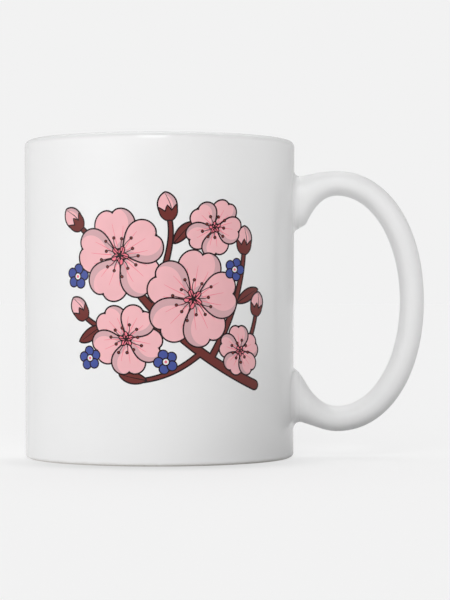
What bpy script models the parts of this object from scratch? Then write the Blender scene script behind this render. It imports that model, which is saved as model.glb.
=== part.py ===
"""A white glazed stoneware mug: a straight-sided cup on a recessed foot, with a D-shaped handle.

Run it with blender --background --python part.py, or from Blender's text editor.
Lengths are in metres and +Z is up. The mug stands on the plane z = 0 and its handle points
along +X. The origin is the middle of the mug's footprint, so the cup's axis is left of it.
"""

import math

import bmesh
import bpy
from mathutils import Vector
from mathutils.geometry import interpolate_bezier

# The cup, about its own axis.
CUP_HEIGHT = 0.0960
CUP_RADIUS = 0.0410  # outside, at the lip
WALL_DRAFT = 0.0003  # how much narrower the outside is at the foot
LIP_THICKNESS = 0.0040
FOOT_THICKNESS = 0.0047  # of the wall just above the inner corner
FLOOR_HEIGHT = 0.0074  # the drinking side of the floor
INNER_CORNER = 0.0090  # radius between wall and floor, inside
OUTER_CORNER = 0.0014  # radius between wall and foot, outside
FOOT_RING = 0.0030  # width of the flat ring that the mug stands on
RECESS_DEPTH = 0.0022  # of the hollow inside that ring
RECESS_SLOPE = 0.0016  # how far the ring's inner side leans in as it rises
RECESS_BEND = 0.0005  # bevel at the top and bottom of that side

# The handle seen from the side. Points are (distance from the cup's axis, height), and
# directions are degrees from +X for a path that leaves the wall.
CROWN_X = 0.0540  # how far out the handle is highest, and lowest
CROWN = (0.0869, 0.0795)  # heights of its outer and inner edges where it is highest
SOLE = (0.0078, 0.0154)  # and where it is lowest
REACH_OUTER = 0.0804  # how far out the handle goes
REACH_INNER = 0.0734
REACH_Z = 0.0474
BOW_OUTER = 0.585  # roundness of the bow's corners: 0.552 makes a true ellipse
BOW_INNER = 0.562
UPPER_EDGE = (0.0430, 0.0852)  # top of the upper stub, past its flare
UPPER_EDGE_DIRECTION = 8
UPPER_HEEL = (0.0446, 0.0714)  # bottom of the upper stub
UPPER_HEEL_DIRECTION = 60
UPPER_FLARE = (0.0872, 0.0680)  # heights where the flare meets the wall, above and below
UPPER_FLARE_DIRECTION = 70  # of the flare under the heel
LOWER_EDGE = (0.0429, 0.0104)
LOWER_EDGE_DIRECTION = -12
LOWER_HEEL = (0.0436, 0.0238)
LOWER_HEEL_DIRECTION = -64
LOWER_FLARE = (0.0082, 0.0269)
LOWER_FLARE_DIRECTION = -52
PULL = 0.36  # how strongly a path keeps its directions, as a share of its length

# The handle's width along Y.
UPPER_WIDTH = 0.0140
CROWN_WIDTH = 0.0126
REACH_WIDTH = 0.0114
LOWER_WIDTH = 0.0156
UPPER_SIDE_FLARE = 0.0018  # how much each side spreads where it meets the wall
LOWER_SIDE_FLARE = 0.0030
SECTION_POWER = 2.25  # 2 makes the sections oval, and more makes them squarer

JOINT_GAP = 0.0003  # between the handle's ends and the wall

# How finely the round shapes are cut.
CUP_SIDES = 96
FOOT_STEPS = 5
LIP_STEPS = 10
CORNER_STEPS = 7
HANDLE_SIDES = 24
FLARE_STEPS = 4
STUB_STEPS = 6
BOW_STEPS = 10
PATH_POINTS = 401
CAP_RINGS = 3
SHARP_ANGLE = math.radians(35)

CUP_AXIS_X = -(REACH_OUTER - CUP_RADIUS) / 2
GLAZE_WHITE = (0.88, 0.88, 0.87, 1.0)


def clear_scene():
    for obj in list(bpy.data.objects):
        bpy.data.objects.remove(obj)


def glazed(name):
    """A glossy white glaze."""
    material = bpy.data.materials.new(name)
    material.use_nodes = True
    shader = material.node_tree.nodes["Principled BSDF"]
    shader.inputs["Base Color"].default_value = GLAZE_WHITE
    shader.inputs["Roughness"].default_value = 0.12
    material.diffuse_color = GLAZE_WHITE
    return material


def add_object(name, bm):
    """A smooth-shaded object made from bm, moved so that the cup's axis is in its place."""
    bmesh.ops.recalc_face_normals(bm, faces=bm.faces)
    mesh = bpy.data.meshes.new(name)
    bm.to_mesh(mesh)
    bm.free()
    mesh.shade_smooth()
    mesh.set_sharp_from_angle(angle=SHARP_ANGLE)
    mesh.materials.append(glazed(name + "_glaze"))
    obj = bpy.data.objects.new(name, mesh)
    obj.location.x = CUP_AXIS_X
    bpy.context.scene.collection.objects.link(obj)


def outside_radius(z):
    """The cup's outside radius at a height, with the wall's slight draft."""
    return CUP_RADIUS - WALL_DRAFT * (1 - z / CUP_HEIGHT)


def arc(centre, radius, start, end, steps):
    """Points of an arc in the (radius, height) plane, its angles in degrees from +radius."""
    angles = [math.radians(start + (end - start) * k / steps) for k in range(steps + 1)]
    return [(centre[0] + radius * math.cos(a), centre[1] + radius * math.sin(a)) for a in angles]


def cup_profile():
    """The cup's cross-section as (radius, height) points: from under the middle of the foot
    up the outside, over the lip and down the inside to the middle of the floor."""
    foot_radius = outside_radius(OUTER_CORNER)
    ring_outer = foot_radius - OUTER_CORNER
    ring_inner = ring_outer - FOOT_RING
    recess_radius = ring_inner - RECESS_SLOPE
    recess = [
        (0.0, RECESS_DEPTH),
        (recess_radius - RECESS_BEND, RECESS_DEPTH),
        (recess_radius + RECESS_BEND / 2, RECESS_DEPTH - RECESS_BEND),
        (ring_inner - RECESS_BEND / 2, RECESS_BEND / 2),
        (ring_inner + RECESS_BEND / 2, 0.0),
    ]
    foot = arc((ring_outer, OUTER_CORNER), OUTER_CORNER, -90, 0, FOOT_STEPS)
    lip_radius = LIP_THICKNESS / 2
    lip = arc((CUP_RADIUS - lip_radius, CUP_HEIGHT - lip_radius), lip_radius, 0, 180, LIP_STEPS)
    corner_centre = (foot_radius - FOOT_THICKNESS - INNER_CORNER, FLOOR_HEIGHT + INNER_CORNER)
    corner = arc(corner_centre, INNER_CORNER, 0, -90, CORNER_STEPS)
    return recess + foot + lip + corner + [(0.0, FLOOR_HEIGHT)]


def make_cup():
    """The cup, turned from its cross-section."""
    bm = bmesh.new()
    points = [bm.verts.new((radius, 0.0, z)) for radius, z in cup_profile()]
    edges = [bm.edges.new(pair) for pair in zip(points, points[1:])]
    bmesh.ops.spin(
        bm,
        geom=points + edges,
        cent=(0, 0, 0),
        axis=(0, 0, 1),
        angle=math.tau,
        steps=CUP_SIDES,
    )
    bmesh.ops.remove_doubles(bm, verts=bm.verts, dist=1e-6)
    add_object("cup", bm)


def path(start, start_direction, end, end_direction):
    """Fine points of a smooth path in the side view that keeps a direction at either end."""
    start = Vector((start[0], 0, start[1]))
    end = Vector((end[0], 0, end[1]))
    pull = PULL * (end - start).length
    leave, arrive = (
        Vector((math.cos(math.radians(a)), 0, math.sin(math.radians(a)))) * pull
        for a in (start_direction, end_direction)
    )
    return interpolate_bezier(start, start + leave, end - arrive, end, PATH_POINTS)


def off_wall(point):
    """The place with the same Y and Z that is just clear of the cup's wall."""
    radius = outside_radius(point.z) + JOINT_GAP
    return Vector((math.sqrt(radius**2 - point.y**2), point.y, point.z))


def clear_of_wall(points):
    """The points of a path that aren't in the gap between the handle and the wall."""
    return [point for point in points if point.x >= off_wall(point).x]


def quarter(z, reach, roundness):
    """Fine points of a quarter of the bow, from its crown or sole to its furthest point."""
    controls = [
        (CROWN_X, z),
        (CROWN_X + roundness * (reach - CROWN_X), z),
        (reach, REACH_Z + roundness * (z - REACH_Z)),
        (reach, REACH_Z),
    ]
    return interpolate_bezier(*[Vector((x, 0, height)) for x, height in controls], PATH_POINTS)


def stretch(outer, inner, widths, bends, steps):
    """Sections of the handle between two edge paths, as (outer, inner, width, bend).

    The width and the share of the wall's curve that a section follows both ease from their
    first value to their second."""
    sections = []
    for k in range(steps + 1):
        share = k / steps
        ease = share * share * (3 - 2 * share)
        width = widths[0] + (widths[1] - widths[0]) * ease
        bend = bends[0] + (bends[1] - bends[0]) * ease
        edges = [points[round(share * (len(points) - 1))] for points in (outer, inner)]
        sections.append((*edges, width, bend))
    return sections


def flare(edge, edge_direction, heel, heel_direction, meets, heel_leaves, width, side):
    """The handle's first stretch, which spreads out to meet the wall."""
    edge_leaves = -90 if meets[0] > edge[1] else 90
    outer = path((outside_radius(meets[0]), meets[0]), edge_leaves, edge, edge_direction)
    inner = path((outside_radius(meets[1]), meets[1]), heel_leaves, heel, heel_direction)
    edges = clear_of_wall(outer), clear_of_wall(inner)
    sections = stretch(*edges, (width, width), (1, 1), FLARE_STEPS)
    spread = [2 * side * (1 - k / FLARE_STEPS) ** 2 for k in range(FLARE_STEPS + 1)]
    return [(o, i, width + extra, bend) for (o, i, _, bend), extra in zip(sections, spread)]


def half_handle(edge, edge_direction, heel, heel_direction, meets, heel_leaves, width, side, top):
    """Sections from the wall to the handle's furthest point, by way of its crown or sole."""
    start = flare(edge, edge_direction, heel, heel_direction, meets, heel_leaves, width, side)
    outer = path(edge, edge_direction, (CROWN_X, top[0]), 0)
    inner = path(heel, heel_direction, (CROWN_X, top[1]), 0)
    stub = stretch(outer, inner, (width, CROWN_WIDTH), (1, 0), STUB_STEPS)
    outer = quarter(top[0], REACH_OUTER, BOW_OUTER)
    inner = quarter(top[1], REACH_INNER, BOW_INNER)
    bow = stretch(outer, inner, (CROWN_WIDTH, REACH_WIDTH), (0, 0), BOW_STEPS)
    return start + stub[1:] + bow[1:]


def handle_sections():
    """Every section of the handle, from the upper end round to the lower one."""
    upper = half_handle(
        UPPER_EDGE,
        UPPER_EDGE_DIRECTION,
        UPPER_HEEL,
        UPPER_HEEL_DIRECTION,
        UPPER_FLARE,
        UPPER_FLARE_DIRECTION,
        UPPER_WIDTH,
        UPPER_SIDE_FLARE,
        CROWN,
    )
    lower = half_handle(
        LOWER_EDGE,
        LOWER_EDGE_DIRECTION,
        LOWER_HEEL,
        LOWER_HEEL_DIRECTION,
        LOWER_FLARE,
        LOWER_FLARE_DIRECTION,
        LOWER_WIDTH,
        LOWER_SIDE_FLARE,
        SOLE,
    )
    return upper + lower[-2::-1]


def section_ring(outer, inner, width, bend):
    """The points round a section: a rounded oval that reaches from its inner to its outer
    edge, bent back at its sides as the wall is."""
    middle = (outer + inner) / 2
    to_edge = (outer - inner) / 2
    ring = []
    for k in range(HANDLE_SIDES):
        angle = math.tau * k / HANDLE_SIDES
        along, across = (
            math.copysign(abs(c) ** (2 / SECTION_POWER), c)
            for c in (math.cos(angle), math.sin(angle))
        )
        point = middle + to_edge * along + Vector((0, width / 2 * across, 0))
        point.x -= bend * (CUP_RADIUS - math.sqrt(CUP_RADIUS**2 - point.y**2))
        ring.append(point)
    return ring


def bridge(bm, first, second):
    """Quads between two loops of the same number of vertices."""
    for k, vertex in enumerate(first):
        after = (k + 1) % len(first)
        bm.faces.new((vertex, first[after], second[after], second[k]))


def close_end(bm, loop):
    """Closes an end of the handle with smaller and smaller loops that follow the wall."""
    middle = sum((vertex.co for vertex in loop), Vector()) / len(loop)
    for rings_left in range(CAP_RINGS, 1, -1):
        smaller = [bm.verts.new(off_wall(v.co.lerp(middle, 1 / rings_left))) for v in loop]
        bridge(bm, loop, smaller)
        loop = smaller
    centre = bm.verts.new(off_wall(middle))
    for k, vertex in enumerate(loop):
        bm.faces.new((vertex, loop[(k + 1) % len(loop)], centre))


def make_handle():
    """The handle, lofted through its sections, with both ends shaped to the wall."""
    bm = bmesh.new()
    rings = [section_ring(*section) for section in handle_sections()]
    for end in (0, -1):
        rings[end] = [off_wall(point) for point in rings[end]]
    loops = [[bm.verts.new(point) for point in ring] for ring in rings]
    for first, second in zip(loops, loops[1:]):
        bridge(bm, first, second)
    close_end(bm, loops[0])
    close_end(bm, loops[-1])
    add_object("handle", bm)


def main():
    clear_scene()
    make_cup()
    make_handle()


main()
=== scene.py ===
"""The looks of a white glazed mug with a spray of blossom printed on its side.

One seamless skin of glaze stands for the CAD's cup and handle, a ring of bare clay shows below
it, and each ink of the print is a thin film on the wall. The studio is a pale floor and a plain
backdrop in soft light.
"""

import math

import bmesh
import bpy
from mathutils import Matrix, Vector
from mathutils.geometry import delaunay_2d_cdt, interpolate_bezier


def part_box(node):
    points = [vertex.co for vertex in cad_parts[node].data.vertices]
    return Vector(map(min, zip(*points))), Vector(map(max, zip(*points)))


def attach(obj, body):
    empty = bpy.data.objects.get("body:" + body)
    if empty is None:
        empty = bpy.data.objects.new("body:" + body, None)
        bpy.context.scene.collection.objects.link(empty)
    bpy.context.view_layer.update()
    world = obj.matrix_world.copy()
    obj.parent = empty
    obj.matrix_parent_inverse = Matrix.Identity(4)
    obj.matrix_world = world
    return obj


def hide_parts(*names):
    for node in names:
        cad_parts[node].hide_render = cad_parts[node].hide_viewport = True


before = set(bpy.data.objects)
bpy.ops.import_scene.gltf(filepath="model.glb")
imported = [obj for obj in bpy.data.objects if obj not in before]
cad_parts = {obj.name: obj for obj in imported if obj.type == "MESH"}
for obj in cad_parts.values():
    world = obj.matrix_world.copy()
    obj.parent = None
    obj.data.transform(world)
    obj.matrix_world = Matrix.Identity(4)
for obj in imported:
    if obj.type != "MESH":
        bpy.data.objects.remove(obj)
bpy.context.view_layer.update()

CUP_LOW, CUP_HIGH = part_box("cup")
AXIS_X = (CUP_LOW.x + CUP_HIGH.x) / 2
RADIUS = (CUP_HIGH.x - CUP_LOW.x) / 2
HEIGHT = CUP_HIGH.z
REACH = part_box("handle")[1].x - AXIS_X

MM = 0.001

# The cup, about its own axis: the CAD's sizes.
DRAFT = 0.3 * MM
LIP = 4.0 * MM
FOOT_WALL = 4.7 * MM
FLOOR = 7.4 * MM
INNER_CORNER = 9.0 * MM
OUTER_CORNER = 1.4 * MM
FOOT_RING = 3.0 * MM
RECESS = 2.2 * MM
RECESS_SLOPE = 1.6 * MM

# The glaze under the foot, where the recess turns down and where the glaze stops, outside and
# inside the ring. The lists hold (outwards, up) from those places.
RECESS_DOME = 0.1 * MM  # how much higher the recess is at its middle
RECESS_BEND = 0.8 * MM
RECESS_TURN = [(-2, 0), (-1, -0.04), (-0.5, -0.2), (0, -0.55), (0.3, -1.0)]  # in bends
GLAZE_EDGE = 0.42 * MM  # above the table
GLAZE_EDGE_INSIDE = 0.5 * MM
GLAZE_RISE = 0.6 * MM  # how much higher the skin runs where the clay hides it
OUTSIDE_TURN = [(-0.35, 0.15), (-0.12, -0.03)]  # in millimetres
INSIDE_TURN = [(-0.45, 0.25), (-0.3, 0.05), (-0.15, 0.0), (0.05, 0.08), (0.5, 0.5)]

# The bare clay of the ring.
CLAY_INSET = 0.15 * MM  # how far it lies behind the glaze
CLAY_ROUND = 0.35 * MM  # radius of its inner edge
CLAY_INSIDE = [(0.1, 1.6), (-0.05, 0.9)]  # in millimetres from that edge, hidden by the glaze
CLAY_OUTSIDE = [(-0.2, 1.3)]  # and from the outer edge
CLAY_OUTER_END = -32  # where the arc of its outer corner ends, in degrees

# The handle's edges in the side view: distance from the cup's axis, height and direction in
# degrees from +X, where the flare ends, past the heel, and at the crown or sole. In millimetres.
UPPER_OUTER = [(42.6, 85.35, -5), (44.4, 85.6, 14), (54.0, 86.9, 0)]
UPPER_INNER = [(42.5, 69.5, 36), (44.8, 71.25, 66), (54.0, 79.5, 0)]
LOWER_OUTER = [(42.6, 10.55, 5), (44.6, 10.1, -17), (54.0, 7.8, 0)]
LOWER_INNER = [(42.4, 25.7, -50), (44.4, 22.7, -60), (54.0, 15.4, 0)]
REACH_INNER = 73.2
REACH_Z = 47.4
BOW_OUTER = 0.585
BOW_INNER = 0.562
# At the same places and at the furthest point: its width, and how far a section follows the
# wall's curve.
UPPER_WIDTHS = [14.0, 13.6, 12.6, 11.4]
LOWER_WIDTHS = [15.4, 14.8, 12.6, 11.4]
WALL_BENDS = [1.0, 0.8, 0.0, 0.0]
SECTION_POWER = 2.4  # 2 makes the sections oval, and more makes them squarer
# Where each flare ends on the wall: heights of its outer and inner ends, and half its width.
UPPER_FLARE = (87.2, 67.7, 8.9)
LOWER_FLARE = (8.2, 27.7, 10.7)
PULL = 0.36  # how strongly a path keeps its directions, as a share of its length
FLARE_PULL = 0.42  # and on a flare
FLARE_LEAN = 0.1  # the share of the way to a flare's middle that gives its direction there

# The print, in millimetres round the wall and up it.
LINE_WIDTH = 0.46
LINE_WIDTH_FINE = 0.8 * LINE_WIDTH
LINE_WIDTH_FINEST = 0.7 * LINE_WIDTH
VEIN_WIDTHS = (0.26, 0.1)
FILAMENT_WIDTHS = (0.28, 0.22)
FOLD_WIDTHS = (0.3, 0.12)
RIB_WIDTHS = (0.34, 0.14)
ANTHER_RADII = (0.52, 0.3)  # with and without its dark line
PRINT_BOX = (-32.0, 20.0, 36.0, 82.0)  # its left, bottom, right and top
POINT_SPACING = 0.45
GRID_SPACING = 1.5
CLEARANCE = 0.97  # the share of its distance that a grown outline keeps from its shape
SAME_PLACE = 1e-4  # how close two points of the print are taken as one
PRINT_PROUD = 0.03 * MM
PRINT_DEPTH = 0.03 * MM

# Colours, linear, and the inks' from 0 to 255 as on a screen.
GLAZE_WHITE = (0.868, 0.868, 0.868)
GLAZE_CLOUD = (0.852, 0.852, 0.853)
GLAZE_THIN = (0.78, 0.768, 0.75)
CLAY_PALE = (0.66, 0.64, 0.61)
CLAY_DARK = (0.58, 0.56, 0.525)
CLAY_SPECK = (0.36, 0.33, 0.3)
INKS = {
    "line": (34, 14, 17),
    "pink": (243, 185, 190),
    "shade": (213, 168, 173),
    "rose": (240, 122, 139),
    "brown": (112, 44, 40),
    "blue": (68, 82, 155),
}

# Surfaces, whose patterns are noises of (waves a metre, detail) with values about 0.5.
MIDDLE = (0.3, 0.7)  # where most of those values lie
GLAZE_IOR = 1.5
GLAZE_ROUGHNESS = (0.07, 0.13)
HAZE = (170.0, 3.0)  # of that roughness
HANDLE_SATIN = 0.3  # how much rougher the handle's glaze is than the cup's
HANDLE_SATIN_FROM = (21.0 * MM, 24.0 * MM)  # where along X it sets in
RIPPLE = (38.0, 1.0)
RIPPLE_DEPTH = 0.05 * MM
ORANGE_PEEL = (420.0, 1.0)
ORANGE_PEEL_DEPTH = 0.0022 * MM
CLOUDS = (45.0, 3.0)
CLOUD_VALUES = (0.35, 0.65)
THIN_BELOW = (0.9 * MM, 1.6 * MM)  # the heights between which the glaze thins out
THIN_RAGGED = 1.0 * MM  # how uneven that border is
RAGGED = (300.0, 2.0)
CLAY_ROUGHNESS = (0.75, 0.95)
CLAY_GRAIN = (1500.0, 3.0)
CLAY_GRAIN_DEPTH = 0.06 * MM
CLAY_MOTTLE = (160.0, 4.0)
SPECK_VALUES = (0.64, 0.7)  # of the grain, where a speck sets in
SPECK_STRENGTH = 0.7
INK_SHINE = 0.25  # half of what the glaze has
INK_LAY = (130.0, 4.0)
INK_FULLER = 0.95  # how much darker an ink is where it is laid thickest
INK_FAINTER = 0.006  # and how much lighter where it is thinnest

# The studio.
FLOOR_SIZE = 30.0
FLOOR_ALBEDO = 0.3
FLOOR_GLOW = 0.661  # the floor's own light as the camera sees it
FLOOR_BOUNCE = 0.607  # and as it reaches the mug
PAINTED_DIM_PATCH = (60, 0.087, 0.054)  # painted shade, dimming the glow that reaches the mug: azimuth, distance from cup, size
PAINTED_CONTACT_SHADOW = 0.26  # a painted shadow: how much of its glow the floor loses in front of the foot
PAINTED_SHADOW_REACH = 8.5 * MM  # how far that painted shadow spreads
BACKDROP = 0.888
BROAD_LIGHTS = [  # azimuth, elevation, strength
    (-30, 0, 1.08),
    (30, 0, 0.77),
    (60, 0, 0.12),
    (90, 0, 0.942),
    (120, 0, 0.557),
    (150, 0, 0.289),
    (180, 0, 0.451),
    (-150, 0, 0.448),
    (-120, 0, 0.677),
    (-90, 0, 0.482),
    (-60, 0, 1.056),
    (-60, 30, 0.169),
    (180, 60, 2.0),
]
BROAD_POWER = 8.0  # the higher, the narrower these lights are
SOFTBOX_FROM = (-5, 32)  # azimuth and elevation of its middle
SOFTBOX_HALF_ANGLES = (11, 24)
SOFTBOX_STRENGTH = 4.0
SOFTBOX_EDGE = 0.02  # how soft its edges are

# The camera, which is level.
CAMERA_PLACE = (19.88, -656.0, 47.7)  # in millimetres from the foot of the cup's axis
LENS = 129.2
SENSOR_WIDTH = 36.0
CLIP = (0.05, 100.0)

# Mesh fineness.
SIDES = 192
OUTER_CORNER_STEPS = 12
WALL_ROWS = 60
LIP_STEPS = 24
INNER_WALL_STEPS = 14
INNER_CORNER_STEPS = 16
FLOOR_STEPS = 3
CLAY_STEPS = (5, 6, 10)  # its inner edge, its flat and its outer corner
WINDOW_ROWS = 16  # of each opening in the wall's mesh, which a root of the handle fills
WINDOW_COLUMNS = 20
UPPER_WINDOW = 41  # the wall row where it starts
LOWER_WINDOW = 2
RING = 2 * (WINDOW_ROWS + WINDOW_COLUMNS)
PATCH_LOOPS = 6
PATCH_CROWDING = 1.3  # above 1, these loops lie closer together near the flare
FLARE_LOOPS = 12
STRETCH_STEPS = (5, 16, 28)
PATH_STEPS = 200


def wall_radius(z):
    """The cup's outside radius at a height."""
    return RADIUS - DRAFT * (1 - z / HEIGHT)


def ring_edges():
    """The outer and inner radius of the flat ring that the mug stands on."""
    outer = wall_radius(OUTER_CORNER) - OUTER_CORNER
    return outer, outer - FOOT_RING


def shifted(origin, offsets, unit=MM):
    """Points at these offsets from a place in the (radius, height) plane."""
    return [(origin[0] + out * unit, origin[1] + up * unit) for out, up in offsets]


def arc(centre, radius, start, end, steps):
    """Points of an arc in the (radius, height) plane, its angles in degrees."""
    angles = [math.radians(start + (end - start) * k / steps) for k in range(steps + 1)]
    return [(centre[0] + radius * math.cos(a), centre[1] + radius * math.sin(a)) for a in angles]


def line(start, end, steps):
    """Points along a straight line, without its first."""
    return [
        tuple((a * (steps - k) + b * k) / steps for a, b in zip(start, end))
        for k in range(1, steps + 1)
    ]


def cup_profile():
    """(points, index of the first wall row): the glazed skin's cross-section as (radius,
    height), from under the middle of the foot, up the outside, over the lip and down inside."""
    ring_outer, ring_inner = ring_edges()
    recess_radius = ring_inner - RECESS_SLOPE
    points = [(0.0, RECESS + RECESS_DOME), (recess_radius * 0.6, RECESS + RECESS_DOME * 0.8)]
    points += shifted((recess_radius, RECESS), RECESS_TURN, RECESS_BEND)
    points += shifted((ring_inner, GLAZE_EDGE_INSIDE), INSIDE_TURN)
    start = -math.degrees(math.asin(1 - GLAZE_EDGE / OUTER_CORNER))
    outer = arc((ring_outer, OUTER_CORNER), OUTER_CORNER, start, 0, OUTER_CORNER_STEPS)
    points += [(ring_outer, GLAZE_EDGE + GLAZE_RISE)]
    points += shifted(outer[0], OUTSIDE_TURN) + outer
    first_wall = len(points) - 1
    lip_radius = LIP / 2
    lip_z = HEIGHT - lip_radius
    wall = line((0, OUTER_CORNER), (0, lip_z), WALL_ROWS)
    points += [(wall_radius(z), z) for _, z in wall[:-1]]
    points += arc((RADIUS - lip_radius, lip_z), lip_radius, 0, 180, LIP_STEPS)
    corner_centre = (wall_radius(OUTER_CORNER) - FOOT_WALL - INNER_CORNER, FLOOR + INNER_CORNER)
    corner = arc(corner_centre, INNER_CORNER, 0, -90, INNER_CORNER_STEPS)
    points += line(points[-1], corner[0], INNER_WALL_STEPS)
    points += corner[1:]
    points += line(corner[-1], (0.0, FLOOR), FLOOR_STEPS)
    return points, first_wall


def clay_profile():
    """The bare ring's closed cross-section, from inside the recess, down and outwards."""
    ring_outer, ring_inner = ring_edges()
    edge_steps, flat_steps, corner_steps = CLAY_STEPS
    flat_end = ring_outer - CLAY_INSET
    points = shifted((ring_inner, 0.0), CLAY_INSIDE)
    points += arc((ring_inner + CLAY_ROUND, CLAY_ROUND), CLAY_ROUND, 180, 270, edge_steps)
    points += line(points[-1], (flat_end, 0.0), flat_steps)
    corner = arc((flat_end, OUTER_CORNER), OUTER_CORNER, -90, CLAY_OUTER_END, corner_steps)
    return points + corner[1:] + shifted((ring_outer, 0.0), CLAY_OUTSIDE)


def ring_of(bm, radius, z):
    """A ring of SIDES vertices about the cup's axis, or the one vertex at its middle."""
    if radius == 0:
        return [bm.verts.new((AXIS_X, 0, z))] * SIDES
    angles = [math.tau * k / SIDES for k in range(SIDES)]
    return [bm.verts.new((AXIS_X + radius * math.cos(a), radius * math.sin(a), z)) for a in angles]


def bridge(bm, first, second, skip=()):
    """Faces between two loops of vertices, apart from the columns in skip."""
    for k in range(len(first)):
        if k in skip:
            continue
        after = (k + 1) % len(first)
        corners = [first[k], first[after], second[after], second[k]]
        bm.faces.new([v for i, v in enumerate(corners) if v not in corners[:i]])


def window(rows, first_row, upward):
    """The perimeter of a window in the wall, from the middle of its outer side by way of +Y,
    where the outer side is the upper one if upward is 1 and the lower one if it is -1."""
    half = WINDOW_COLUMNS // 2
    last_row = first_row + WINDOW_ROWS
    outer, inner = (last_row, first_row) if upward > 0 else (first_row, last_row)
    side = range(outer, inner, -upward)
    places = [(outer, c) for c in range(0, half)]
    places += [(r, half) for r in side]
    places += [(inner, c) for c in range(half, -half, -1)]
    places += [(r, -half) for r in reversed([*side][1:] + [inner])]
    places += [(outer, c) for c in range(-half, 0)]
    return [rows[r][c % SIDES] for r, c in places]


def path(start, end):
    """Fine points of a smooth path between two (x, z, direction) knots, in millimetres."""
    a, b = (Vector((x, 0, z)) for x, z, _ in (start, end))
    pull = PULL * (b - a).length
    leave, arrive = (
        Vector((math.cos(math.radians(d)), 0, math.sin(math.radians(d)))) * pull
        for _, _, d in (start, end)
    )
    return interpolate_bezier(a, a + leave, b - arrive, b, PATH_STEPS + 1)


def quarter(crown, reach, roundness):
    """Fine points of a quarter of the bow, from its crown or sole to its furthest point."""
    x, z, _ = crown
    controls = [
        (x, z),
        (x + roundness * (reach - x), z),
        (reach, REACH_Z + roundness * (z - REACH_Z)),
        (reach, REACH_Z),
    ]
    return interpolate_bezier(*[Vector((a, 0, b)) for a, b in controls], PATH_STEPS + 1)


def half_handle(outer, inner, widths):
    """Sections from a flare's end to the handle's furthest point, as (outer, inner, width,
    bend), where bend is how far the section follows the wall's curve."""
    curves = [(path(*outer[i : i + 2]), path(*inner[i : i + 2])) for i in range(2)]
    outer_bow = quarter(outer[-1], REACH / MM, BOW_OUTER)
    inner_bow = quarter(inner[-1], REACH_INNER, BOW_INNER)
    curves.append((outer_bow, inner_bow))
    sections = []
    for i, ((outers, inners), steps) in enumerate(zip(curves, STRETCH_STEPS)):
        for k in range(steps):
            share = k / steps
            ease = share * share * (3 - 2 * share)
            width, bend = (
                values[i] + (values[i + 1] - values[i]) * ease for values in (widths, WALL_BENDS)
            )
            at = round(share * PATH_STEPS)
            sections.append((outers[at], inners[at], width, bend))
    return sections + [(outer_bow[-1], inner_bow[-1], widths[-1], WALL_BENDS[-1])]


def section_ring(outer, inner, width, bend):
    """RING points round a section, in the row frame: from its outer edge by way of +Y."""
    middle = (outer + inner) / 2
    to_edge = (outer - inner) / 2
    points = []
    for k in range(RING):
        angle = math.tau * k / RING
        along, across = (
            math.copysign(abs(c) ** (2 / SECTION_POWER), c)
            for c in (math.cos(angle), math.sin(angle))
        )
        point = (middle + to_edge * along) * MM
        point.y = width / 2 * across * MM
        point.x += AXIS_X - bend * (RADIUS - math.sqrt(RADIUS**2 - point.y**2))
        points.append(point)
    return points


def on_wall(y, z):
    """The place on the handle's side of the wall at this Y and Z."""
    return Vector((AXIS_X + math.sqrt(wall_radius(z) ** 2 - y**2), y, z))


def flare_outline(outer_z, inner_z, half_width):
    """RING points on the wall round a flare, ordered as a section's are."""
    middle, half = (outer_z + inner_z) / 2 * MM, (outer_z - inner_z) / 2 * MM
    angles = [math.tau * k / RING for k in range(RING)]
    return [on_wall(half_width * MM * math.sin(a), middle + half * math.cos(a)) for a in angles]


def blend_loops(loop, outline, stub, beyond):
    """Loops of points from a window's perimeter over the wall and up the flare, up to the
    handle's first section."""
    centre = sum(outline, Vector()) / RING
    loops = []
    for step in range(1, PATCH_LOOPS):
        share = 1 - (1 - step / PATCH_LOOPS) ** PATCH_CROWDING
        flat = [v.co.lerp(p, share) for v, p in zip(loop, outline)]
        loops.append([on_wall(p.y, p.z) for p in flat])
    loops.append(outline)
    curves = []
    for foot, end, ahead in zip(outline, stub, beyond):
        aim = foot + (centre - foot) * FLARE_LEAN
        inward = on_wall(aim.y, aim.z) - foot
        reach = FLARE_PULL * (end - foot).length
        leave = foot + inward.normalized() * reach
        arrive = end - (ahead - end).normalized() * reach
        curves.append(interpolate_bezier(foot, leave, arrive, end, FLARE_LOOPS + 1))
    loops += [list(points) for points in zip(*[curve[1:-1] for curve in curves])]
    return loops


def mug_skin():
    """The glazed skin of cup and handle in one seamless mesh."""
    bm = bmesh.new()
    profile, first_wall = cup_profile()
    rows = [ring_of(bm, r, z) for r, z in profile]
    half = WINDOW_COLUMNS // 2
    open_columns = {c % SIDES for c in range(-half, half)}
    starts = [first_wall + UPPER_WINDOW, first_wall + LOWER_WINDOW]
    open_rows = {r for start in starts for r in range(start, start + WINDOW_ROWS)}
    for i in range(len(rows) - 1):
        bridge(bm, rows[i], rows[i + 1], open_columns if i in open_rows else ())
    upper = [section_ring(*s) for s in half_handle(UPPER_OUTER, UPPER_INNER, UPPER_WIDTHS)]
    lower = [section_ring(*s) for s in half_handle(LOWER_OUTER, LOWER_INNER, LOWER_WIDTHS)]
    upper_loop = window(rows, starts[0], 1)
    lower_loop = window(rows, starts[1], -1)
    top = blend_loops(upper_loop, flare_outline(*UPPER_FLARE), upper[0], upper[1])
    base = blend_loops(lower_loop, flare_outline(*LOWER_FLARE), lower[0], lower[1])
    # Both halves have the section at the furthest point, which is used once.
    chain = top + upper + lower[-2::-1] + base[::-1]
    loops = [upper_loop] + [[bm.verts.new(p) for p in points] for points in chain] + [lower_loop]
    for first, second in zip(loops, loops[1:]):
        bridge(bm, first, second)
    for v in [v for v in bm.verts if not v.link_faces]:
        bm.verts.remove(v)
    return bm


def foot_ring():
    """The bare clay that the mug stands on, showing below the glaze."""
    bm = bmesh.new()
    rows = [ring_of(bm, r, z) for r, z in clay_profile()]
    for first, second in zip(rows, rows[1:] + rows[:1]):
        bridge(bm, first, second)
    return bm


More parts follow.
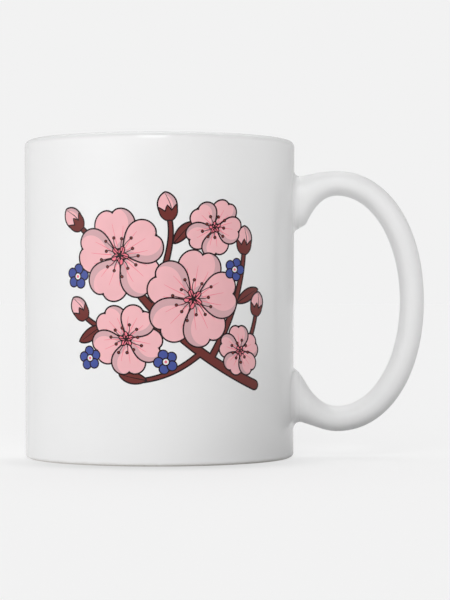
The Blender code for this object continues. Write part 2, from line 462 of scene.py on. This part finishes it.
def add_piece(name, bm, material, stands_for=()):
    """A smooth piece of the mug made from bm, riding on the mug's one body."""
    bmesh.ops.recalc_face_normals(bm, faces=bm.faces)
    mesh = bpy.data.meshes.new(name)
    bm.to_mesh(mesh)
    bm.free()
    mesh.shade_smooth()
    mesh.materials.append(material)
    piece = bpy.data.objects.new(name, mesh)
    bpy.context.scene.collection.objects.link(piece)
    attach(piece, "root")
    if stands_for:
        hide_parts(*stands_for)
    return piece


class Artwork:
    """Flat shapes in print, each lying over the ones before it. Lengths are in millimetres
    round the wall and up it, from the line on the wall that faces the camera."""

    def __init__(self):
        self.shapes = []  # (ink, points, index of the shape that it stays within, or None)

    def add(self, ink, points, within=None):
        self.shapes.append((ink, points, within))
        return len(self.shapes) - 1

    def outlined(self, ink, points, line_width=LINE_WIDTH):
        """A shape with a dark line round it."""
        self.add("line", grown(points, line_width))
        return self.add(ink, points)


def gap(point, start, end):
    """How far a point is from a straight edge."""
    edge = end - start
    share = (point - start).dot(edge) / max(edge.length_squared, 1e-12)
    return (start + edge * min(max(share, 0.0), 1.0) - point).length


def grown(points, distance):
    """A closed counter-clockwise outline moved outwards, without the loops that its notches
    would make."""
    edges = list(zip(points[-1:] + points[:-1], points))
    moved = []
    for k, (before, here) in enumerate(edges):
        following = (k + 1) % len(points)
        after = points[following]
        along = (after - before).normalized()
        out = here + Vector((along.y, -along.x)) * distance
        outward_corner = (here - before).cross(after - here) > 0
        own = (k, following) if outward_corner else ()
        others = [edge for e, edge in enumerate(edges) if e not in own]
        if all(gap(out, *edge) > CLEARANCE * distance for edge in others):
            moved.append(out)
    return moved


def curve_points(*controls):
    """Points along a cubic curve about POINT_SPACING apart, without its last."""
    controls = [Vector((*c, 0)) for c in controls]
    length = sum((b - a).length for a, b in zip(controls, controls[1:]))
    steps = max(3, round(length / POINT_SPACING))
    return [p.to_2d() for p in interpolate_bezier(*controls, steps + 1)[:-1]]


def placed(points, centre, size, turn, squash=1.0, squash_turn=0.0):
    """Points of a unit shape, scaled, turned and flattened to a place in the print."""
    moved = []
    c, s = math.cos(turn), math.sin(turn)
    a, b = math.cos(squash_turn), math.sin(squash_turn)
    for p in points:
        x, y = size * (c * p.x - s * p.y), size * (s * p.x + c * p.y)
        along, across = (a * x + b * y) * squash, -b * x + a * y
        flattened = (a * along - b * across, b * along + a * across)
        moved.append(Vector((centre[0] + flattened[0], centre[1] + flattened[1])))
    return moved


def disc(centre, radius):
    """Points of a circle, counter-clockwise."""
    steps = max(10, round(math.tau * radius / POINT_SPACING))
    angles = [math.tau * k / steps for k in range(steps)]
    return [
        Vector((centre[0] + radius * math.cos(a), centre[1] + radius * math.sin(a)))
        for a in angles
    ]


def cap(end, direction, radius):
    """Points of a round end, counter-clockwise."""
    heading = math.atan2(direction.y, direction.x)
    angles = [heading + math.radians(turn) for turn in (-60, -30, 0, 30, 60)]
    return [end + Vector((math.cos(a), math.sin(a))) * radius for a in angles]


def stroke(controls, start_width, end_width):
    """A tapered stroke with round ends along a cubic curve."""
    length = sum(math.dist(p, q) for p, q in zip(controls, controls[1:]))
    steps = max(4, round(length / (2 * POINT_SPACING)))
    spine = [p.to_2d() for p in interpolate_bezier(*[Vector((*c, 0)) for c in controls], steps + 1)]
    left, right = [], []
    for k, here in enumerate(spine):
        along = (spine[min(k + 1, steps)] - spine[max(k - 1, 0)]).normalized()
        width = start_width + (end_width - start_width) * k / steps
        side = Vector((-along.y, along.x)) * width / 2
        left.append(here + side)
        right.append(here - side)
    tip = cap(spine[-1], spine[-1] - spine[-2], end_width / 2)
    return right + tip + left[::-1] + cap(spine[0], spine[0] - spine[1], start_width / 2)


def unit_outline(segments, size):
    """Points round a unit shape of cubic segments, spaced for the size it is printed at."""
    points = []
    for segment in segments:
        points += [p / size for p in curve_points(*[(x * size, y * size) for x, y in segment])]
    return points


def unit_stroke(controls, size, widths):
    """A stroke within a unit shape, its widths those at the size it is printed at."""
    return [p / size for p in stroke([(x * size, y * size) for x, y in controls], *widths)]


def petal_shape():
    """A petal of unit length along +X with a notch in its tip, counter-clockwise."""
    segments = [
        [(0.06, 0.0), (0.2, -0.1), (0.34, -0.47), (0.66, -0.47)],
        [(0.66, -0.47), (0.84, -0.47), (0.98, -0.34), (0.99, -0.18)],
        [(0.99, -0.18), (1.0, -0.09), (0.95, -0.03), (0.91, 0.0)],
    ]
    mirrored = [[(x, -y) for x, y in segment[::-1]] for segment in segments[::-1]]
    return segments + mirrored


def star_shape():
    """The five-pointed heart of a blossom of unit size."""
    steps = 40
    angles = [math.tau * k / steps for k in range(steps)]
    return [
        Vector((math.cos(a), math.sin(a))) * (0.15 + 0.055 * math.cos(5 * (a - math.pi / 5)))
        for a in angles
    ]


def blossom(art, centre, size, turn, squash=1.0, squash_turn=0.0, stamens=11):
    """A five-petalled blossom, flattened as if seen from a side."""
    turn = math.radians(turn)
    flat = (squash, math.radians(squash_turn))
    outline = unit_outline(petal_shape(), size)
    light = [Vector((0.10 + p.x * 0.93, p.y * 0.9 + 0.09)) for p in outline]
    for k in range(5):
        angle = turn + math.tau * k / 5
        petal = art.outlined("shade", placed(outline, centre, size, angle, *flat))
        art.add("pink", placed(light, centre, size, angle, *flat), within=petal)
        for lean, reach in ((-0.16, 0.62), (0.04, 0.7), (0.22, 0.6)):
            vein = [(0.2, lean * 0.4), (0.35, lean * 0.8), (0.5, lean * 1.1), (reach, lean * 1.25)]
            points = unit_stroke(vein, size, VEIN_WIDTHS)
            art.add("rose", placed(points, centre, size, angle, *flat), within=petal)
    star = star_shape()
    art.outlined("rose", placed(star, centre, size, turn, *flat), LINE_WIDTH_FINEST)
    for k in range(stamens):
        angle = turn + math.tau * (k + 0.35) / stamens
        reach = 0.40 + 0.07 * math.sin(k * 2.4)
        bend = 0.05 * math.cos(k * 1.7)
        filament = [(0.08, 0), (0.2, bend), (0.3, bend), (reach, 0)]
        points = unit_stroke(filament, size, FILAMENT_WIDTHS)
        art.add("line", placed(points, centre, size, angle, *flat))
        tip = placed([Vector((reach, 0))], centre, size, angle, *flat)[0]
        for ink, radius in zip(("line", "brown"), ANTHER_RADII):
            art.add(ink, disc(tip, radius))
    art.add("line", placed([p * 0.52 for p in star], centre, size, turn, *flat))


def bud(art, base, size, turn):
    """A closed bud on its calyx, with its base at the end of a twig."""
    turn = math.radians(turn)
    body = [
        [(0.1, 0.0), (0.12, -0.3), (0.38, -0.36), (0.6, -0.34)],
        [(0.6, -0.34), (0.8, -0.31), (0.95, -0.16), (1.0, 0.0)],
        [(1.0, 0.0), (0.95, 0.16), (0.8, 0.31), (0.6, 0.34)],
        [(0.6, 0.34), (0.38, 0.36), (0.12, 0.3), (0.1, 0.0)],
    ]
    outline = unit_outline(body, size)
    within = art.outlined("shade", placed(outline, base, size, turn))
    light = [Vector((p.x * 0.95, p.y * 0.84 + 0.07)) for p in outline]
    art.add("pink", placed(light, base, size, turn), within=within)
    fold = [(0.3, -0.12), (0.55, -0.16), (0.75, -0.05), (0.96, 0.0)]
    points = unit_stroke(fold, size, FOLD_WIDTHS)
    art.add("line", placed(points, base, size, turn), within=within)
    calyx = [
        [(-0.06, -0.1), (0.08, -0.3), (0.2, -0.34), (0.46, -0.33)],
        [(0.46, -0.33), (0.34, -0.22), (0.3, -0.16), (0.26, -0.12)],
        [(0.26, -0.12), (0.34, -0.08), (0.42, -0.04), (0.5, 0.0)],
        [(0.5, 0.0), (0.42, 0.04), (0.34, 0.08), (0.26, 0.12)],
        [(0.26, 0.12), (0.3, 0.16), (0.34, 0.22), (0.46, 0.33)],
        [(0.46, 0.33), (0.2, 0.34), (0.08, 0.3), (-0.06, 0.1)],
    ]
    art.outlined("brown", placed(unit_outline(calyx, size), base, size, turn), LINE_WIDTH_FINE)


def leaf(art, base, size, turn, bend=0.12):
    """A small pointed leaf with a midrib."""
    turn = math.radians(turn)
    sides = [
        [(0.0, 0.0), (0.2, -0.24 + bend), (0.6, -0.3 + bend), (1.0, bend)],
        [(1.0, bend), (0.7, 0.26 + bend), (0.25, 0.28), (0.0, 0.0)],
    ]
    within = art.outlined("brown", placed(unit_outline(sides, size), base, size, turn))
    rib = [(0.0, 0.0), (0.3, bend * 0.4), (0.6, bend * 0.8), (0.86, bend)]
    points = unit_stroke(rib, size, RIB_WIDTHS)
    art.add("line", placed(points, base, size, turn), within=within)


def small_flower(art, centre, size, turn):
    """A little blue flower with a bare ring round its eye."""
    turn = math.radians(turn)
    for k in range(5):
        spot = placed([Vector((0.62, 0.0))], centre, size, turn + math.tau * k / 5)[0]
        art.outlined("blue", disc(spot, size * 0.37), LINE_WIDTH_FINE)
    for ink, radius in (("line", 0.36), ("bare", 0.25), ("rose", 0.13)):
        art.add(ink, disc(centre, size * radius))


def blossom_spray():
    """The whole print: blossom, buds, young leaves and small blue flowers on forked twigs."""
    art = Artwork()
    twigs = [
        ([(31.6, 23), (20.8, 27), (9.6, 34), (0.2, 44)], 2.4, 1.8),
        ([(0.2, 44), (-5.5, 50), (-13, 60), (-23.3, 69)], 1.8, 0.9),
        ([(16.1, 30.5), (21.8, 40), (26.5, 50), (27.4, 62)], 1.5, 0.8),
        ([(-0.8, 45), (2, 56), (5.8, 64), (3.9, 71.5)], 1.3, 0.8),
        ([(4.9, 39.5), (-3.6, 38), (-14.9, 37), (-21.5, 43)], 1.3, 0.8),
        ([(22.7, 27.5), (27.4, 31), (31.2, 38), (32.1, 44)], 1.1, 0.7),
        ([(13.3, 32.5), (7.7, 28), (2, 25), (-5.5, 24.5)], 1.1, 0.7),
    ]
    strokes = [stroke(*twig) for twig in twigs]
    for points in strokes:
        art.add("line", grown(points, LINE_WIDTH))
    for points in strokes:
        art.add("brown", points)
    leaf(art, (-16, 40.3), 8.5, 205)
    leaf(art, (25.1, 47), 8.5, 20)
    leaf(art, (5.3, 64), 8, 40)
    leaf(art, (-2.7, 24.7), 8, 160)
    bud(art, (27.4, 61.5), 7.5, 88)
    bud(art, (4.1, 71), 7.5, 100)
    bud(art, (-21.5, 42.5), 7, 125)
    bud(art, (32, 43.5), 6.5, 80)
    bud(art, (-22.9, 68.5), 7.5, 135)
    blossom(art, (26, 33), 7.3, 20, 0.9, 30, 9)
    blossom(art, (17.5, 68.5), 8.8, 60, 0.86, 120, 9)
    blossom(art, (-8.5, 36.5), 10.4, 130, 0.94, 60)
    blossom(art, (-10.4, 60.5), 13.2, 100, 0.96, 20, 13)
    blossom(art, (11, 48), 13.8, 78, 0.97, 150, 13)
    small_flower(art, (-24, 54.5), 3.5, 10)
    small_flower(art, (3, 30), 3.4, 40)
    small_flower(art, (24.1, 56.5), 3.2, 70)
    small_flower(art, (-19.8, 31), 3.3, 25)
    return art


def print_areas(art):
    """(places, {ink: triangles}) of the print, with no two inks over one another. A grid of
    points keeps the triangles small enough to bend with the wall."""
    verts, faces = [], []
    for _, points, _ in art.shapes:
        faces.append(list(range(len(verts), len(verts) + len(points))))
        verts += points
    columns, levels = (
        range(int(PRINT_BOX[i] / GRID_SPACING), int(PRINT_BOX[i + 2] / GRID_SPACING) + 1)
        for i in range(2)
    )
    verts += [Vector((u * GRID_SPACING, v * GRID_SPACING)) for u in columns for v in levels]
    inside_only = 1
    places, _, triangles, _, _, covers = delaunay_2d_cdt(
        verts, [], faces, inside_only, SAME_PLACE, True
    )
    areas = {}
    for corners, over in zip(triangles, covers):
        tops = [i for i in over if art.shapes[i][2] is None or art.shapes[i][2] in over]
        if tops:
            areas.setdefault(art.shapes[max(tops)][0], []).append(corners)
    areas.pop("bare")
    return places, areas


def wrapped(place, proud):
    """Where a point of the print lies on the wall, this far outside it."""
    angle = place[0] * MM / RADIUS
    z = place[1] * MM
    radius = wall_radius(z) + proud
    return Vector((AXIS_X + radius * math.sin(angle), -radius * math.cos(angle), z))


def film(places, triangles):
    """A thin closed film on the wall over some triangles of the print."""
    bm = bmesh.new()
    used = sorted({i for corners in triangles for i in corners})
    front = {i: bm.verts.new(wrapped(places[i], PRINT_PROUD)) for i in used}
    back = {i: bm.verts.new(wrapped(places[i], -PRINT_DEPTH)) for i in used}
    sides = {(c[k], c[(k + 1) % 3]) for c in triangles for k in range(3)}
    for a, b, c in triangles:
        bm.faces.new((front[a], front[b], front[c]))
        bm.faces.new((back[c], back[b], back[a]))
    for a, b in sorted(sides):
        if (b, a) not in sides:
            bm.faces.new((front[b], front[a], back[a], back[b]))
            for edge in (bm.edges.get((front[a], front[b])), bm.edges.get((back[a], back[b]))):
                edge.smooth = False
    return bm


def add_print():
    """One piece for each ink of the print, whose face shades as the wall under it does."""
    places, areas = print_areas(blossom_spray())
    for ink, triangles in areas.items():
        mesh = add_piece("print_" + ink, film(places, triangles), ink_material(ink)).data
        outward = [Vector((v.co.x - AXIS_X, v.co.y, 0)).normalized() for v in mesh.vertices]
        normals = []
        for face in mesh.polygons:
            in_front = face.normal.dot(outward[face.vertices[0]]) > 0.5
            normals += [outward[i] if in_front else face.normal.copy() for i in face.vertices]
        mesh.normals_split_custom_set(normals)


def principled(name, colour, roughness):
    """(material, node tree, shader) of a new Principled material."""
    material = bpy.data.materials.new(name)
    material.use_nodes = True
    shader = material.node_tree.nodes["Principled BSDF"]
    shader.inputs["Base Color"].default_value = (*colour, 1.0)
    shader.inputs["Roughness"].default_value = roughness
    return material, material.node_tree, shader


def math_node(tree, operation, *values):
    """The result of a Math node whose inputs are numbers or other nodes' outputs."""
    node = tree.nodes.new("ShaderNodeMath")
    node.operation = operation
    for socket, value in zip(node.inputs, values):
        if isinstance(value, (int, float)):
            socket.default_value = value
        else:
            tree.links.new(value, socket)
    return node.outputs[0]


def position(tree):
    """The place on the object, as a vector."""
    return tree.nodes.new("ShaderNodeTexCoord").outputs["Object"]


def coordinate(tree, axis):
    """The place on the object along X, Y or Z."""
    node = tree.nodes.new("ShaderNodeSeparateXYZ")
    tree.links.new(position(tree), node.inputs[0])
    return node.outputs[axis]


def noise(tree, waves, detail):
    """The value of a noise with this many waves a metre, from 0 to 1 about 0.5."""
    node = tree.nodes.new("ShaderNodeTexNoise")
    tree.links.new(position(tree), node.inputs["Vector"])
    node.inputs["Scale"].default_value = waves
    node.inputs["Detail"].default_value = detail
    return node.outputs["Fac"]


def ranged(tree, value, start, end, low, high):
    """A value mapped from one range to another, and held within it."""
    node = tree.nodes.new("ShaderNodeMapRange")
    tree.links.new(value, node.inputs["Value"])
    for name, number in zip(("From Min", "From Max", "To Min", "To Max"), (start, end, low, high)):
        node.inputs[name].default_value = number
    return node.outputs["Result"]


def blended(tree, share, first, second):
    """A colour between two, each of them a colour or another node's output."""
    node = tree.nodes.new("ShaderNodeMix")
    node.data_type = "RGBA"
    tree.links.new(share, node.inputs["Factor"])
    for socket, colour in zip((node.inputs[6], node.inputs[7]), (first, second)):
        if isinstance(colour, tuple):
            socket.default_value = (*colour, 1.0)
        else:
            tree.links.new(colour, socket)
    return node.outputs[2]


def relief(tree, shader, *layers):
    """Bumps in a surface, each layer a (height value, height in metres)."""
    normal = None
    for height, depth in layers:
        node = tree.nodes.new("ShaderNodeBump")
        node.inputs["Distance"].default_value = depth
        tree.links.new(height, node.inputs["Height"])
        if normal:
            tree.links.new(normal, node.inputs["Normal"])
        normal = node.outputs["Normal"]
    tree.links.new(normal, shader.inputs["Normal"])


def glassy(tree, shader, satin=0.0):
    """The gloss of fired glaze, a little uneven, with a long slow ripple and fine orange peel."""
    shader.inputs["IOR"].default_value = GLAZE_IOR
    haze = ranged(tree, noise(tree, *HAZE), *MIDDLE, *GLAZE_ROUGHNESS)
    tree.links.new(math_node(tree, "ADD", haze, satin), shader.inputs["Roughness"])
    ripple, peel = noise(tree, *RIPPLE), noise(tree, *ORANGE_PEEL)
    relief(tree, shader, (ripple, RIPPLE_DEPTH), (peel, ORANGE_PEEL_DEPTH))


def glaze():
    """White glaze with faint darker clouds, warmer where it thins out at the foot."""
    material, tree, shader = principled("white_glaze", GLAZE_WHITE, 0.1)
    clouds = ranged(tree, noise(tree, *CLOUDS), *CLOUD_VALUES, 0.0, 1.0)
    body = blended(tree, clouds, GLAZE_WHITE, GLAZE_CLOUD)
    height, out = coordinate(tree, "Z"), coordinate(tree, "X")
    ragged = math_node(tree, "MULTIPLY_ADD", noise(tree, *RAGGED), THIN_RAGGED, height)
    thin = ranged(tree, ragged, *THIN_BELOW, 1.0, 0.0)
    tree.links.new(blended(tree, thin, body, GLAZE_THIN), shader.inputs["Base Color"])
    glassy(tree, shader, ranged(tree, out, *HANDLE_SATIN_FROM, 0.0, HANDLE_SATIN))
    return material


def clay():
    """Bare fired clay, off-white and finely grained, with darker specks."""
    material, tree, shader = principled("bare_clay", CLAY_PALE, 0.85)
    grain = noise(tree, *CLAY_GRAIN)
    mottle = ranged(tree, noise(tree, *CLAY_MOTTLE), *MIDDLE, 0.0, 1.0)
    body = blended(tree, mottle, CLAY_PALE, CLAY_DARK)
    specks = ranged(tree, grain, *SPECK_VALUES, 0.0, SPECK_STRENGTH)
    tree.links.new(blended(tree, specks, body, CLAY_SPECK), shader.inputs["Base Color"])
    tree.links.new(ranged(tree, grain, *MIDDLE, *CLAY_ROUGHNESS), shader.inputs["Roughness"])
    relief(tree, shader, (grain, CLAY_GRAIN_DEPTH))
    return material


def linear(*rgb):
    """sRGB numbers from 0 to 255 as linear ones."""
    return tuple(c / 3294.6 if c <= 10 else ((c / 255 + 0.055) / 1.055) ** 2.4 for c in rgb)


def ink_material(ink):
    """One ink of the print, less glossy than the glaze and laid a little unevenly."""
    colour = linear(*INKS[ink])
    material, tree, shader = principled("ink_" + ink, colour, 0.1)
    laid = ranged(tree, noise(tree, *INK_LAY), *MIDDLE, 0.0, 1.0)
    fuller = tuple(c * INK_FULLER for c in colour)
    fainter = tuple(c + INK_FAINTER for c in colour)
    tree.links.new(blended(tree, laid, fuller, fainter), shader.inputs["Base Color"])
    glassy(tree, shader)
    shader.inputs["Specular IOR Level"].default_value = INK_SHINE
    return material


def toward(azimuth, elevation):
    """The direction of a light, where azimuth 0 is from the camera's side and 90 from +X."""
    a, e = math.radians(azimuth), math.radians(elevation)
    return Vector((math.sin(a) * math.cos(e), -math.cos(a) * math.cos(e), math.sin(e)))


def fading(tree, centre, radius, reach):
    """1 on a circle on the floor, fading to 0 on both sides of it."""
    away = tree.nodes.new("ShaderNodeVectorMath")
    away.operation = "DISTANCE"
    tree.links.new(position(tree), away.inputs[0])
    away.inputs[1].default_value = centre
    beyond = math_node(tree, "SUBTRACT", away.outputs["Value"], radius)
    squared = math_node(tree, "MULTIPLY", beyond, beyond)
    return math_node(tree, "EXPONENT", math_node(tree, "MULTIPLY", squared, -0.5 / reach**2))


def floor_light(tree):
    """The strength of the floor's own light: what the camera sees, with a painted soft shadow in
    front of the mug's foot, and what reaches the mug, with painted shade from one dimmer patch."""
    azimuth, distance, size = PAINTED_DIM_PATCH
    foot = Vector((AXIS_X, 0, 0))
    # Painted shade: the glow that reaches the mug is dimmer in one patch of the floor.
    painted_dimness = fading(tree, foot + toward(azimuth, 0) * distance, 0.0, size)
    bounce = math_node(tree, "MULTIPLY_ADD", painted_dimness, -FLOOR_BOUNCE, FLOOR_BOUNCE)
    # Painted shadow: the glow the camera sees is dimmer on a ring round the foot, in front of it.
    painted_contact_shadow = fading(tree, foot, RADIUS - OUTER_CORNER, PAINTED_SHADOW_REACH)
    in_front = ranged(tree, coordinate(tree, "Y"), 0.0, -RADIUS, 0.0, 1.0)
    shade = math_node(tree, "MULTIPLY", painted_contact_shadow, in_front)
    shown = math_node(tree, "MULTIPLY_ADD", shade, -PAINTED_CONTACT_SHADOW * FLOOR_GLOW, FLOOR_GLOW)
    more = math_node(tree, "SUBTRACT", shown, bounce)
    seen = tree.nodes.new("ShaderNodeLightPath").outputs["Is Camera Ray"]
    return math_node(tree, "MULTIPLY_ADD", seen, more, bounce)


def studio_floor():
    """A pale floor whose own faint light keeps the mug's shadow soft."""
    bm = bmesh.new()
    bmesh.ops.create_grid(bm, x_segments=1, y_segments=1, size=FLOOR_SIZE)
    mesh = bpy.data.meshes.new("floor")
    bm.to_mesh(mesh)
    bm.free()
    floor = bpy.data.objects.new("floor", mesh)
    bpy.context.scene.collection.objects.link(floor)
    material, tree, shader = principled("floor", (FLOOR_ALBEDO,) * 3, 1.0)
    shader.inputs["Specular IOR Level"].default_value = 0.0
    shader.inputs["Emission Color"].default_value = (1, 1, 1, 1)
    tree.links.new(floor_light(tree), shader.inputs["Emission Strength"])
    mesh.materials.append(material)


def camera():
    """A level camera at the photograph's place and angle."""
    data = bpy.data.cameras.new("camera")
    data.lens = LENS
    data.sensor_width = SENSOR_WIDTH
    data.clip_start, data.clip_end = CLIP
    obj = bpy.data.objects.new("camera", data)
    obj.location = Vector((AXIS_X, 0, 0)) + Vector(CAMERA_PLACE) * MM
    obj.rotation_euler = (math.pi / 2, 0, 0)
    bpy.context.scene.collection.objects.link(obj)
    bpy.context.scene.camera = obj


def aligned(tree, direction, axis):
    """How far a direction points along an axis."""
    node = tree.nodes.new("ShaderNodeVectorMath")
    node.operation = "DOT_PRODUCT"
    tree.links.new(direction, node.inputs[0])
    node.inputs[1].default_value = axis
    return node.outputs["Value"]


def softbox(tree, direction):
    """1 where a direction meets the softbox, a soft-edged rectangle, and 0 elsewhere."""
    aim = toward(*SOFTBOX_FROM)
    across = Vector((0, 0, 1)).cross(aim).normalized()
    inside = math_node(tree, "GREATER_THAN", aligned(tree, direction, aim), 0.0)
    for axis, half_angle in zip((across, aim.cross(across)), SOFTBOX_HALF_ANGLES):
        off = math_node(tree, "ABSOLUTE", aligned(tree, direction, axis))
        edge = math.sin(math.radians(half_angle))
        within = ranged(tree, off, edge - SOFTBOX_EDGE, edge + SOFTBOX_EDGE, 1.0, 0.0)
        inside = math_node(tree, "MULTIPLY", within, inside)
    return inside


def studio_light():
    """Broad soft lights all round, a softbox, and a plain backdrop behind them."""
    scene = bpy.context.scene
    scene.view_settings.view_transform = "Standard"
    scene.world = bpy.data.worlds.new("studio")
    scene.world.use_nodes = True
    tree = scene.world.node_tree
    direction = tree.nodes.new("ShaderNodeTexCoord").outputs["Generated"]
    total = 0.0
    for azimuth, elevation, strength in BROAD_LIGHTS:
        facing = aligned(tree, direction, toward(azimuth, elevation))
        lobe = math_node(tree, "POWER", math_node(tree, "MAXIMUM", facing, 0.0), BROAD_POWER)
        total = math_node(tree, "MULTIPLY_ADD", lobe, strength, total)
    total = math_node(tree, "MULTIPLY_ADD", softbox(tree, direction), SOFTBOX_STRENGTH, total)
    lit = tree.nodes["Background"]
    lit.inputs["Color"].default_value = (1, 1, 1, 1)
    tree.links.new(total, lit.inputs["Strength"])
    seen = tree.nodes.new("ShaderNodeBackground")
    seen.inputs["Color"].default_value = (BACKDROP, BACKDROP, BACKDROP, 1)
    mix = tree.nodes.new("ShaderNodeMixShader")
    ray = tree.nodes.new("ShaderNodeLightPath")
    tree.links.new(ray.outputs["Is Camera Ray"], mix.inputs[0])
    tree.links.new(lit.outputs[0], mix.inputs[1])
    tree.links.new(seen.outputs[0], mix.inputs[2])
    tree.links.new(mix.outputs[0], tree.nodes["World Output"].inputs["Surface"])


skin = add_piece("mug_glaze", mug_skin(), glaze(), ("cup", "handle"))
add_piece("foot_ring", foot_ring(), clay())
add_print()
studio_floor()
camera()
studio_light()
